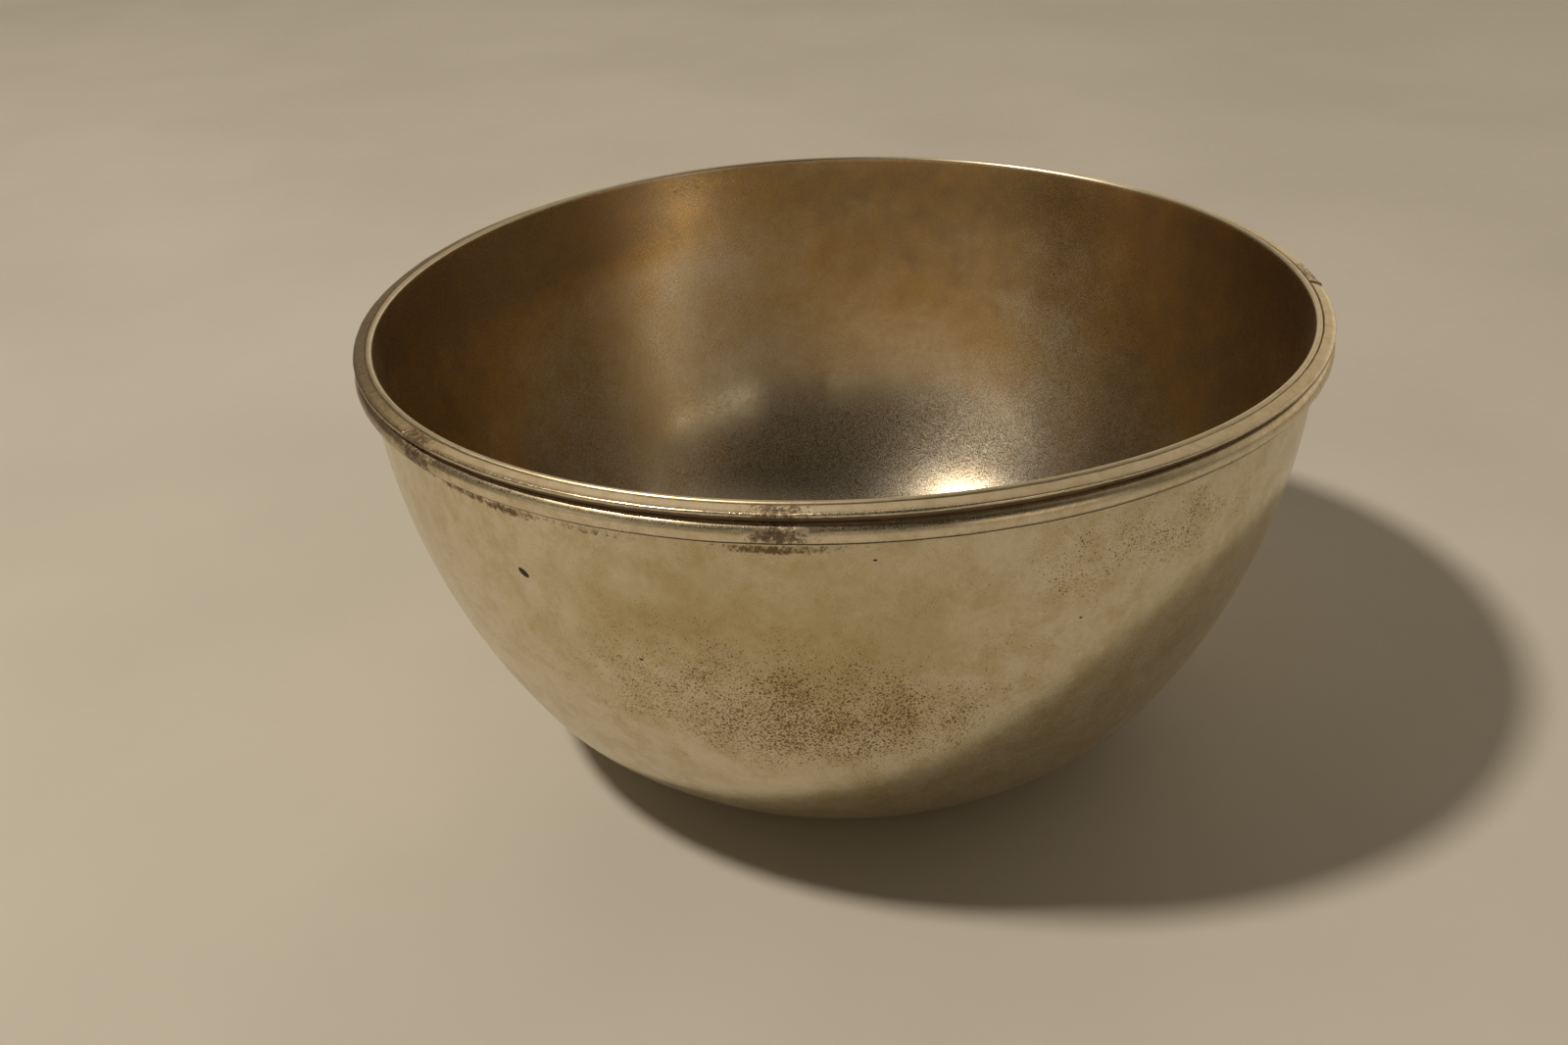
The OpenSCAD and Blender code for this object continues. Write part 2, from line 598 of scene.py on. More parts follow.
class Desk(Board):
    """A material's node tree, read in millimetres from the surface's own place."""

    def __init__(self, name: str) -> None:
        """Starts a material.

        Args:
            name: The material's name.
        """
        self.material = bpy.data.materials.new(name)
        self.material.use_nodes = True
        super().__init__(self.material.node_tree)
        output = self.tree.nodes.new("ShaderNodeOutputMaterial")
        self.shader = self.tree.nodes.new("ShaderNodeBsdfPrincipled")
        self.tree.links.new(self.shader.outputs["BSDF"], output.inputs["Surface"])
        coordinates = self.tree.nodes.new("ShaderNodeTexCoord")
        scaled = self.tree.nodes.new("ShaderNodeVectorMath")
        scaled.operation = "SCALE"
        self.fill(scaled, {0: coordinates.outputs["Object"], "Scale": 1.0 / MM})
        self.place = scaled.outputs[0]

    def join(self, x: object, y: object, z: object) -> bpy.types.NodeSocket:
        """A vector from three numbers.

        Args:
            x: First number.
            y: Second number.
            z: Third number.

        Returns:
            The vector.
        """
        node = self.tree.nodes.new("ShaderNodeCombineXYZ")
        self.fill(node, {0: x, 1: y, 2: z})
        return node.outputs[0]

    def moved(
        self, vector: object, shift: tuple = (0, 0, 0), turn: tuple = (0, 0, 0), scale: tuple = (1, 1, 1)
    ) -> bpy.types.NodeSocket:
        """A vector through a Mapping node.

        Args:
            vector: The vector.
            shift: Offset in millimetres.
            turn: Turns about x, y and z in degrees.
            scale: Scale along x, y and z.

        Returns:
            The mapped vector.
        """
        node = self.tree.nodes.new("ShaderNodeMapping")
        radians = tuple(math.radians(t) for t in turn)
        self.fill(node, {"Vector": vector, "Location": shift, "Rotation": radians, "Scale": scale})
        return node.outputs[0]

    def noise(
        self, size: float, detail: float = 4.0, rough: float = 0.5, bend: float = 0.0, vector: object = None
    ) -> bpy.types.NodeSocket:
        """Cloudy noise from 0 to 1.

        Args:
            size: Size of the largest clouds in millimetres.
            detail: Number of finer layers.
            rough: Strength of the finer layers.
            bend: Distortion.
            vector: Where the noise is read, in millimetres. The surface's own place if not given.

        Returns:
            The noise value.
        """
        node = self.tree.nodes.new("ShaderNodeTexNoise")
        look = {"Scale": 1.0 / size, "Detail": detail, "Roughness": rough, "Distortion": bend}
        self.fill(node, {"Vector": self.place if vector is None else vector, **look})
        return node.outputs[0]

    def cells(self, size: float, vector: object = None) -> bpy.types.NodeSocket:
        """Distance to the nearest of scattered points, from 0 at a point.

        Args:
            size: Mean spacing of the points in millimetres.
            vector: Where it is read. The surface's own place if not given.

        Returns:
            The distance as a share of the spacing.
        """
        node = self.tree.nodes.new("ShaderNodeTexVoronoi")
        self.fill(node, {"Vector": self.place if vector is None else vector, "Scale": 1.0 / size})
        return node.outputs["Distance"]

    def tint(self, share: object, first: object, second: object) -> bpy.types.NodeSocket:
        """One colour over another.

        Args:
            share: How much of the second shows.
            first: The colour below.
            second: The colour on top.

        Returns:
            The mixed colour.
        """
        node = self.tree.nodes.new("ShaderNodeMix")
        node.data_type = "RGBA"
        below, above = ((*c, 1.0) if isinstance(c, tuple) else c for c in (first, second))
        self.fill(node, {"Factor": share, 6: below, 7: above})
        return node.outputs[2]

    def level(self, share: object, first: object, second: object) -> bpy.types.NodeSocket:
        """A number between two others.

        Args:
            share: How much of the second counts.
            first: The number at share 0.
            second: The number at share 1.

        Returns:
            The result.
        """
        node = self.tree.nodes.new("ShaderNodeMix")
        node.data_type = "FLOAT"
        self.fill(node, {"Factor": share, 2: first, 3: second})
        return node.outputs[0]

    def painted(self, name: str) -> bpy.types.NodeSocket:
        """A value painted on the mesh.

        Args:
            name: The attribute's name.

        Returns:
            The value.
        """
        node = self.tree.nodes.new("ShaderNodeAttribute")
        node.attribute_name = name
        return node.outputs["Fac"]

    def relief(self, height: object, depth: float, under: object = None) -> bpy.types.NodeSocket:
        """A bump.

        Args:
            height: Height from 0 to 1.
            depth: What a height of 1 stands for, in millimetres.
            under: The normal that the bump is laid on. The surface's own if not given.

        Returns:
            The bumped normal.
        """
        node = self.tree.nodes.new("ShaderNodeBump")
        self.fill(node, {"Strength": 1.0, "Distance": depth * MM, "Height": height})
        if under is not None:
            self.feed(node.inputs["Normal"], under)
        return node.outputs[0]

    def away(self, pit: "Pit") -> bpy.types.NodeSocket:
        """Distance from a pit's middle, measured across the pit's own oval.

        Args:
            pit: The pit.

        Returns:
            The distance in millimetres, along the oval's long side.
        """
        offset = self.vector("SUBTRACT", self.place, pit.point).outputs[0]
        facing = self.moved(offset, turn=(0, 0, -pit.azimuth))
        level = self.moved(facing, turn=(pit.tilt, 0, 0))
        oval = self.moved(level, scale=(1, 1, pit.narrow))
        return self.vector("LENGTH", oval, (0.0, 0.0, 0.0)).outputs["Value"]

    def rings(self) -> bpy.types.NodeSocket:
        """Distance from the bowl's axis in millimetres.

        Returns:
            The distance.
        """
        x, y, _ = self.split(self.place)
        return self.math("SQRT", self.math("ADD", self.times(x, x), self.times(y, y)))


@dataclass(frozen=True)
class Pit:
    """A single corrosion pit: a small oval hollow, tilted on the wall."""

    point: tuple[float, float, float]
    azimuth: float
    size: float
    narrow: float = 1.8
    tilt: float = 0.0


@dataclass(frozen=True)
class Coats:
    """What lies on the plate at each place, from 0 to 1, as outputs of its node tree.

    Dirt is everything that isn't metal: the stains, the black of the hollows and half of the pits.
    """

    yellow: bpy.types.NodeSocket
    patches: bpy.types.NodeSocket
    browned: bpy.types.NodeSocket
    fine: bpy.types.NodeSocket
    pitted: bpy.types.NodeSocket
    stained: bpy.types.NodeSocket
    hollows: object
    black: bpy.types.NodeSocket
    dirt: bpy.types.NodeSocket


@dataclass(frozen=True)
class WornPlate:
    """Old silver plate: a warm satin metal under yellow tarnish, with brown stains and dark pits.

    The mesh carries four painted values: tarnish, speckle, stain and polish. Haze stands for the
    finest scratches: it makes part of the surface dull, in grains too small to see. Cloud, scratch,
    grit, grain, dent, ring_pitch, pit_patch, pit_pitch and stain_edge are in millimetres.
    """

    name: str
    bright: Colour
    warm: Colour
    brown: Colour
    gloss: float
    satin: float
    haze: float = 0.56
    haze_rough: float = 0.5
    dirt_rough: float = 0.5
    dirt_metal: float = 0.8
    cloud: float = 14.0
    patch_share: float = 0.28
    scratch: float = 0.9
    grit: float = 0.07
    grain: float = 0.008
    dent: float = 0.02
    mottle: float = 0.45
    ring_pitch: float = 0.35
    along_rings: float = 0.0
    pit_patch: float = 4.0
    pit_pitch: tuple[float, float] = (0.24, 0.60)
    pit_strength: float = 0.84
    stain_edge: float = 0.7
    stain_strength: float = 0.9
    rust_share: Colour = (0.60, 0.48, 0.42)
    black_share: float = 0.16
    pits: tuple[Pit, ...] = ()

    def material(self) -> bpy.types.Material:
        """Builds the node tree.

        Returns:
            The finished material.
        """
        desk = Desk(self.name)
        coats = self.coats(desk)
        desk.feed(desk.shader.inputs["Base Color"], self.colour(desk, coats))
        desk.feed(desk.shader.inputs["Metallic"], desk.span(coats.dirt, 0.0, 1.0, 1.0, self.dirt_metal))
        desk.feed(desk.shader.inputs["Roughness"], self.roughness(desk, coats))
        desk.shader.inputs["Anisotropic"].default_value = self.along_rings
        desk.shader.inputs["Anisotropic Rotation"].default_value = 0.25
        desk.feed(desk.shader.inputs["Normal"], self.surface(desk, coats))
        return desk.material

    def coats(self, desk: Desk) -> Coats:
        """Works out what lies on the plate.

        Args:
            desk: The material's desk.

        Returns:
            The coats.
        """
        tarnish, stain = desk.painted("tarnish"), desk.painted("stain")
        clouds = desk.noise(self.cloud, detail=6.0, rough=0.62, bend=0.6)
        patches = desk.noise(self.cloud * self.patch_share, detail=5.0, rough=0.65, bend=0.3)
        yellow = desk.math("ADD", clouds, desk.blend(tarnish, 0.9, -0.35))
        browned = desk.blend(patches, 0.6, desk.times(tarnish, 0.8))
        pitted, stained = self.pitting(desk), self.staining(desk, stain)
        hollows = self.hollows(desk)
        black = desk.most(hollows, desk.span(stain, 0.85, 1.0))
        return Coats(
            yellow=desk.span(yellow, 0.3, 0.95),
            patches=patches,
            browned=desk.span(browned, 0.72, 1.15),
            fine=desk.noise(self.scratch, rough=0.7),
            pitted=pitted,
            stained=stained,
            hollows=hollows,
            black=black,
            dirt=desk.most(desk.most(stained, black), desk.times(pitted, 0.5)),
        )

    def colour(self, desk: Desk, coats: Coats) -> bpy.types.NodeSocket:
        """The plate's colour: bright metal, then yellow, brown, rust and black over it in turn.

        Args:
            desk: The material's desk.
            coats: What lies on the plate.

        Returns:
            The colour.
        """
        rust = tuple(level * share for level, share in zip(self.brown, self.rust_share))
        black = tuple(level * self.black_share for level in self.brown)
        colour = desk.tint(coats.yellow, self.bright, self.warm)
        colour = desk.tint(desk.span(coats.patches, 0.42, 0.62, 0.0, self.mottle), colour, self.warm)
        colour = desk.tint(desk.times(coats.browned, 0.75), colour, self.brown)
        colour = desk.tint(desk.span(coats.fine, 0.3, 0.8, 0.0, 0.2), colour, self.brown)
        colour = desk.tint(desk.times(coats.pitted, self.pit_strength), colour, rust)
        colour = desk.tint(desk.times(coats.stained, self.stain_strength), colour, rust)
        return desk.tint(coats.black, colour, black)

    def roughness(self, desk: Desk, coats: Coats) -> bpy.types.NodeSocket:
        """The plate's roughness: from satin to gloss with polish, then the haze and the dirt.

        Args:
            desk: The material's desk.
            coats: What lies on the plate.

        Returns:
            The roughness.
        """
        rough = desk.level(desk.painted("polish"), self.satin, self.gloss)
        rough = desk.math("ADD", rough, desk.span(coats.fine, 0.25, 0.75, -0.03, 0.06))
        rough = desk.math("ADD", rough, desk.times(coats.yellow, 0.04))
        grit = desk.noise(self.grit, detail=1.0)
        hazed = desk.span(grit, self.haze - 0.05, self.haze + 0.01)
        return desk.level(coats.dirt, desk.level(hazed, rough, self.haze_rough), self.dirt_rough)

    def surface(self, desk: Desk, coats: Coats) -> bpy.types.NodeSocket:
        """The plate's fine relief: spinning lines and scratches, with stains and hollows sunk in.

        Args:
            desk: The material's desk.
            coats: What lies on the plate.

        Returns:
            The bumped normal.
        """
        x, _, z = desk.split(desk.place)
        spun = desk.join(desk.rings(), desk.times(x, 0.02), z)
        lines = desk.noise(self.ring_pitch, detail=3.0, rough=0.6, vector=spun)
        scratches = desk.relief(desk.blend(lines, 0.35, desk.times(coats.fine, 0.35)), self.grain)
        sunk = desk.times(desk.most(coats.stained, coats.hollows), -1.0)
        return desk.relief(sunk, self.dent, scratches)

    def pitting(self, desk: Desk) -> bpy.types.NodeSocket:
        """Fine dark pits of two sizes, crowded where the painted speckle is high.

        Args:
            desk: The material's desk.

        Returns:
            How pitted each place is.
        """
        crowd = desk.blend(desk.painted("speckle"), 0.75, -0.2)
        crowd = desk.blend(desk.noise(self.pit_patch, rough=0.6), 0.55, crowd)
        reach = desk.span(crowd, 0.02, 0.85, 0.0, 0.52)
        small = desk.math("SUBTRACT", reach, desk.cells(self.pit_pitch[0]))
        apart = desk.moved(desk.place, shift=(31, 17, 5))
        large = desk.math("SUBTRACT", desk.times(reach, 0.72), desk.cells(self.pit_pitch[1], apart))
        return desk.span(desk.most(small, large), -0.04, 0.06)

    def staining(self, desk: Desk, stain: bpy.types.NodeSocket) -> bpy.types.NodeSocket:
        """Brown stains with ragged edges; on the wires these include the painted shade in their hollows.

        Args:
            desk: The material's desk.
            stain: The painted stain.

        Returns:
            How stained each place is.
        """
        ragged = desk.blend(desk.noise(self.stain_edge, detail=5.0, rough=0.8, bend=0.4), 0.9, stain)
        return desk.times(desk.span(ragged, 0.78, 0.96), desk.span(stain, 0.03, 0.3))

    def hollows(self, desk: Desk) -> object:
        """The single pits.

        Args:
            desk: The material's desk.

        Returns:
            How deep in a pit each place is, or 0 where the finish has no single pits.
        """
        total = 0.0
        for pit in self.pits:
            total = desk.most(total, desk.span(desk.away(pit), pit.size * 1.12, pit.size * 0.85))
        return total


@dataclass(frozen=True)
class DullSolder:
    """Soft solder gone grey-brown, lumpy and pitted. Sizes and depth are in millimetres."""

    name: str
    colour: Colour
    dirt: Colour
    lump: float = 1.1
    grit: float = 0.25
    depth: float = 0.06
    metal: float = 0.85

    def material(self) -> bpy.types.Material:
        """Builds the node tree.

        Returns:
            The finished material.
        """
        desk = Desk(self.name)
        lumps = desk.noise(self.lump, detail=5.0, rough=0.65, bend=0.4)
        fine = desk.noise(self.grit, detail=3.0, rough=0.6)
        colour = desk.tint(desk.span(lumps, 0.35, 0.7), self.dirt, self.colour)
        colour = desk.tint(desk.span(fine, 0.4, 0.8, 0.0, 0.5), colour, self.dirt)
        desk.feed(desk.shader.inputs["Base Color"], colour)
        desk.shader.inputs["Metallic"].default_value = self.metal
        desk.feed(desk.shader.inputs["Roughness"], desk.span(lumps, 0.3, 0.7, 0.62, 0.42))
        height = desk.blend(lumps, 0.7, desk.times(fine, 0.3))
        desk.feed(desk.shader.inputs["Normal"], desk.relief(height, self.depth))
        return desk.material


@dataclass(frozen=True)
class PaintedTable:
    """A plain pale table top with a soft, slightly uneven sheen. Sizes are in millimetres."""

    name: str
    colour: Colour
    shade: Colour
    cloud: float = 90.0
    grit: float = 2.5
    depth: float = 0.02
    shine: float = 0.3

    def material(self) -> bpy.types.Material:
        """Builds the node tree.

        Returns:
            The finished material.
        """
        desk = Desk(self.name)
        clouds = desk.noise(self.cloud)
        fine = desk.noise(self.grit, rough=0.6)
        colour = desk.tint(desk.span(clouds, 0.3, 0.7), self.colour, self.shade)
        colour = desk.tint(desk.span(fine, 0.3, 0.8, 0.0, 0.12), colour, self.shade)
        desk.feed(desk.shader.inputs["Base Color"], colour)
        desk.shader.inputs["Specular IOR Level"].default_value = self.shine
        desk.feed(desk.shader.inputs["Roughness"], desk.span(fine, 0.2, 0.8, 0.45, 0.6))
        desk.feed(desk.shader.inputs["Normal"], desk.relief(fine, self.depth))
        return desk.material


# ---------------------------------------------------------------- the bowl


@dataclass(frozen=True)
class Mark:
    """A mark on the bowl: a soft spot of some half width and half height in millimetres."""

    azimuth: float
    height: float
    wide: float
    tall: float
    strength: float = 1.0

    def over(self, grid: Grid) -> np.ndarray:
        """The mark's strength over a surface: strength times exp of minus the squared distance.

        The distance is measured along the surface, as shares of the mark's half width and height.

        Args:
            grid: The surface's places.

        Returns:
            Values from 0 to strength.
        """
        turn = np.angle(np.exp(1j * (grid.angle - math.radians(self.azimuth))))
        across = turn * grid.radius / self.wide
        up = (grid.height - self.height) / self.tall
        return self.strength * np.exp(-(across**2 + up**2))


def all_marks(marks: tuple[Mark, ...], grid: Grid) -> np.ndarray:
    """Several marks together, at most 1.

    Args:
        marks: The marks.
        grid: The surface's places.

    Returns:
        The sum of the marks, held within 0 and 1.
    """
    return np.clip(sum(mark.over(grid) for mark in marks), 0.0, 1.0)


def band(value: np.ndarray, middle: float, half: float) -> np.ndarray:
    """A soft band: exp of minus the squared distance from its middle, as a share of its half width."""
    return np.exp(-(((value - middle) / half) ** 2))


def ramp(value: np.ndarray, width: float, low: float = 0.0, high: float = 1.0) -> np.ndarray:
    """A value as a share of a width, held within two limits."""
    return np.clip(value / width, low, high)


@dataclass
class Shell:
    """The spun bowl: flat base, curved wall in two smooth arcs, upright collar and rounded lip."""

    node: str = "bowl_shell"
    sheet: float = 0.8
    base_radius: float = 23.0
    heel_turn: float = 58.0
    collar_gap: float = 0.25
    columns: int = 272
    arc_points: tuple[int, int] = (52, 74)
    straight_points: int = 14
    lip_points: int = 13
    waves: Unevenness = Unevenness(seed=11, height=0.035, waves=24, most_turns=14, shortest_pitch=9.0)
    finish: WornPlate = WornPlate(
        "plate_outside",
        bright=(0.74, 0.66, 0.49),
        warm=(0.54, 0.43, 0.21),
        brown=(0.30, 0.21, 0.11),
        gloss=0.09,
        satin=0.34,
        haze=0.575,
    )
    finish_inside: WornPlate = WornPlate(
        "plate_inside",
        bright=(0.78, 0.71, 0.59),
        warm=(0.60, 0.42, 0.18),
        brown=(0.33, 0.27, 0.205),
        gloss=0.08,
        satin=0.34,
        haze=0.535,
        haze_rough=0.38,
        mottle=0.2,
        along_rings=0.6,
    )
    outer: float = field(init=False)
    top: float = field(init=False)
    collar: float = field(init=False)

    def __post_init__(self) -> None:
        """Takes the wall's outside, the lip's top and the collar's foot from the CAD model."""
        _, high = node_box_mm(self.node)
        solder_low, _ = node_box_mm("rim_solder")
        self.outer, self.top = high[1], high[2]
        self.collar = solder_low[2] - self.collar_gap

    def wall(self, inset: float, heel_points: int, side_points: int) -> np.ndarray:
        """The wall's curve from the edge of the flat to the collar, moved inwards by inset.

        The lower arc is tangent to the base and turns through heel_turn. The upper arc goes on
        from it and ends upright. Their radii follow from the run and the rise of both together.

        Args:
            inset: Distance from the outside.
            heel_points: Points on the lower arc.
            side_points: Points on the upper arc.

        Returns:
            Points of radius and height.
        """
        turn = math.radians(self.heel_turn)
        sine, cosine = math.sin(turn), math.cos(turn)
        run, rise = self.outer - self.base_radius, self.collar
        both = sine * cosine - (1 - sine) * (1 - cosine)
        heel = (run * cosine - (1 - sine) * rise) / both
        side = (sine * rise - (1 - cosine) * run) / both
        heel_middle = np.array([self.base_radius, heel])
        side_middle = heel_middle + (side - heel) * np.array([-sine, cosine])
        lower = arc(heel_middle, heel - inset, -90.0, self.heel_turn - 90.0, heel_points)
        upper = arc(side_middle, side - inset, self.heel_turn - 90.0, 0.0, side_points)
        return np.concatenate([lower, upper[1:]])

    def section(self) -> tuple[np.ndarray, int]:
        """The sheet's outline from the axis under the base, over the lip, to the axis inside.

        Returns:
            The outline, and the number of its highest point.
        """
        lip, count = self.sheet / 2, self.straight_points
        outside = self.wall(0.0, *self.arc_points)
        inside = self.wall(self.sheet, *self.arc_points)[::-1]
        flat = stretch((0.0, 0.0), (self.base_radius, 0.0), count)
        collar = stretch((self.outer, self.collar), (self.outer, self.top - lip), count)[1:]
        over = arc((self.outer - lip, self.top - lip), lip, 0.0, 180.0, self.lip_points)
        back = collar[::-1] - [self.sheet, 0.0]
        floor = stretch((0.0, self.sheet), (self.base_radius, self.sheet), count)[::-1]
        outline = np.concatenate([flat, outside, collar, over, back, inside, floor])
        crest = len(flat) + len(outside) + len(collar) + self.lip_points // 2
        return outline, crest

    def build(self) -> bpy.types.Object:
        """Makes and dresses the shell.

        Returns:
            The finished piece.
        """
        outline, crest = self.section()
        azimuth = np.arange(self.columns) * FULL_TURN / self.columns
        shape = Turned(
            self.node + "_worn", outline, azimuth, looped=False, whole=True, strips=1, crease_row=crest
        )
        grid = shape.grid()
        inside = np.broadcast_to(np.arange(len(outline)) > crest, grid.angle.shape)
        settle = ramp(grid.height, 8.0) * ramp(self.top - grid.height, 3.0, low=0.15)
        push = self.waves.at(grid) * settle * np.where(inside, -1.0, 1.0)
        paint = {
            "tarnish": np.where(inside, self.tarnish_inside(grid), self.tarnish_outside(grid)),
            "speckle": np.where(inside, 0.1, self.speckle_outside(grid)),
            "stain": np.where(inside, self.stain_inside(grid), self.stain_outside(grid)),
            "polish": self.polish(grid, inside),
        }
        piece = shape.build(push, paint)
        piece.data.materials.append(replace(self.finish, pits=self.single_pits()).material())
        piece.data.materials.append(self.finish_inside.material())
        rings = len(shape.rows())
        per_face = np.tile((np.arange(rings - 1) + 1 >= crest).astype(np.int32), self.columns)
        ends = np.repeat([0, 1], self.columns).astype(np.int32)
        piece.data.polygons.foreach_set("material_index", np.concatenate([per_face, ends]))
        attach(piece, "root")
        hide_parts(self.node)
        return piece

    def polish(self, grid: Grid, inside: np.ndarray) -> np.ndarray:
        """How smooth the plate still is: best at the inner heel, dull on the lip.

        Args:
            grid: The surface's places.
            inside: Which of them are inside the bowl.

        Returns:
            Polish from 0 to 1.
        """
        wall = np.where(inside, 0.82 + 0.18 * ramp(26.0 - grid.height, 4.0), 0.68)
        return wall * ramp(self.top - 0.1 - grid.height, 0.5)

    def single_pits(self) -> tuple[Pit, ...]:
        """The few larger pits on the outside, at their places on the warped wall.

        Returns:
            The pits.
        """
        wall = self.wall(0.0, 200, 200)
        places = (
            (-127.5, 43.4, 0.78, 28.0),
            (-113.5, 35.7, 0.26, 10.0),
            (-87.0, 49.7, 0.20, 0.0),
            (-64.0, 39.0, 0.20, 0.0),
        )
        found = []
        for azimuth, height, size, tilt in places:
            radius = np.interp(height, wall[:, 1], wall[:, 0])
            point = WARP.bend(np.radians(azimuth), np.array(radius), np.array(height))
            found.append(Pit(tuple(float(v) for v in point), azimuth, size, tilt=tilt))
        return tuple(found)

    def tarnish_outside(self, grid: Grid) -> np.ndarray:
        """Where the outside has yellowed: a broad zone across the front, more towards the middle.

        Args:
            grid: The surface's places.

        Returns:
            Tarnish from 0 up.
        """
        marks = (
            Mark(-104.0, 40.0, 24.0, 14.0, 0.40),
            Mark(-85.0, 30.0, 22.0, 12.0, 0.25),
            Mark(40.0, 30.0, 40.0, 20.0, 0.45),
            Mark(160.0, 34.0, 34.0, 18.0, 0.40),
        )
        return 0.15 + all_marks(marks, grid)

    def speckle_outside(self, grid: Grid) -> np.ndarray:
        """Where fine dark pits crowd: low on the front and high on the right.

        Args:
            grid: The surface's places.

        Returns:
            Speckle from 0 up.
        """
        marks = (
            Mark(-102.0, 32.0, 28.0, 12.0, 0.44),
            Mark(-88.0, 27.0, 17.0, 6.5, 0.38),
            Mark(-54.0, 46.0, 18.0, 6.0, 0.42),
            Mark(60.0, 30.0, 22.0, 10.0, 0.8),
            Mark(150.0, 38.0, 18.0, 9.0, 0.6),
        )
        return 0.12 + all_marks(marks, grid)

    def stain_outside(self, grid: Grid) -> np.ndarray:
        """Dirt under the bead, and a trail of specks that leads away from it on the left.

        Args:
            grid: The surface's places.

        Returns:
            Stain from 0 to 1.
        """
        marks = (
            Mark(-145.0, 51.4, 4.0, 0.8, 0.30),
            Mark(-136.0, 50.9, 4.5, 0.8, 0.26),
            Mark(-128.5, 50.4, 4.0, 0.9, 0.34),
            Mark(-118.0, 50.8, 5.0, 0.6, 0.20),
            Mark(-97.0, 50.8, 6.0, 0.7, 0.30),
            Mark(-122.5, 47.6, 0.9, 0.9, 0.30),
            Mark(-93.5, 47.3, 0.8, 0.7, 0.30),
        )
        under_bead = 0.30 * band(grid.height, 51.1, 0.6)
        return np.clip(under_bead + all_marks(marks, grid), 0.0, 1.0)

    def tarnish_inside(self, grid: Grid) -> np.ndarray:
        """Where the inside has yellowed and browned: under the lip and down both sides.

        Args:
            grid: The surface's places.

        Returns:
            Tarnish from 0 to 1, none on the worn lip.
        """
        marks = (
            Mark(165.0, 36.0, 34.0, 22.0, 0.75),
            Mark(15.0, 36.0, 34.0, 22.0, 0.85),
            Mark(80.0, 40.0, 32.0, 15.0, 0.70),
            Mark(134.0, 50.0, 22.0, 8.0, 0.60),
            Mark(-90.0, 38.0, 46.0, 18.0, 0.45),
        )
        below_lip = ramp(55.9 - grid.height, 0.4)
        browned = 0.5 * band(grid.height, 54.0, 8.0)
        return below_lip * np.clip(browned + all_marks(marks, grid), 0.0, 1.0)

    def stain_inside(self, grid: Grid) -> np.ndarray:
        """Mottled brown stains under the lip inside."""
        return 0.26 * band(grid.height, 53.5, 2.5)


@dataclass(frozen=True)
class Cluster:
    """Corrosion sites scattered round an azimuth: their middle and spread in degrees, and how many."""

    middle: float
    spread: float
    count: int


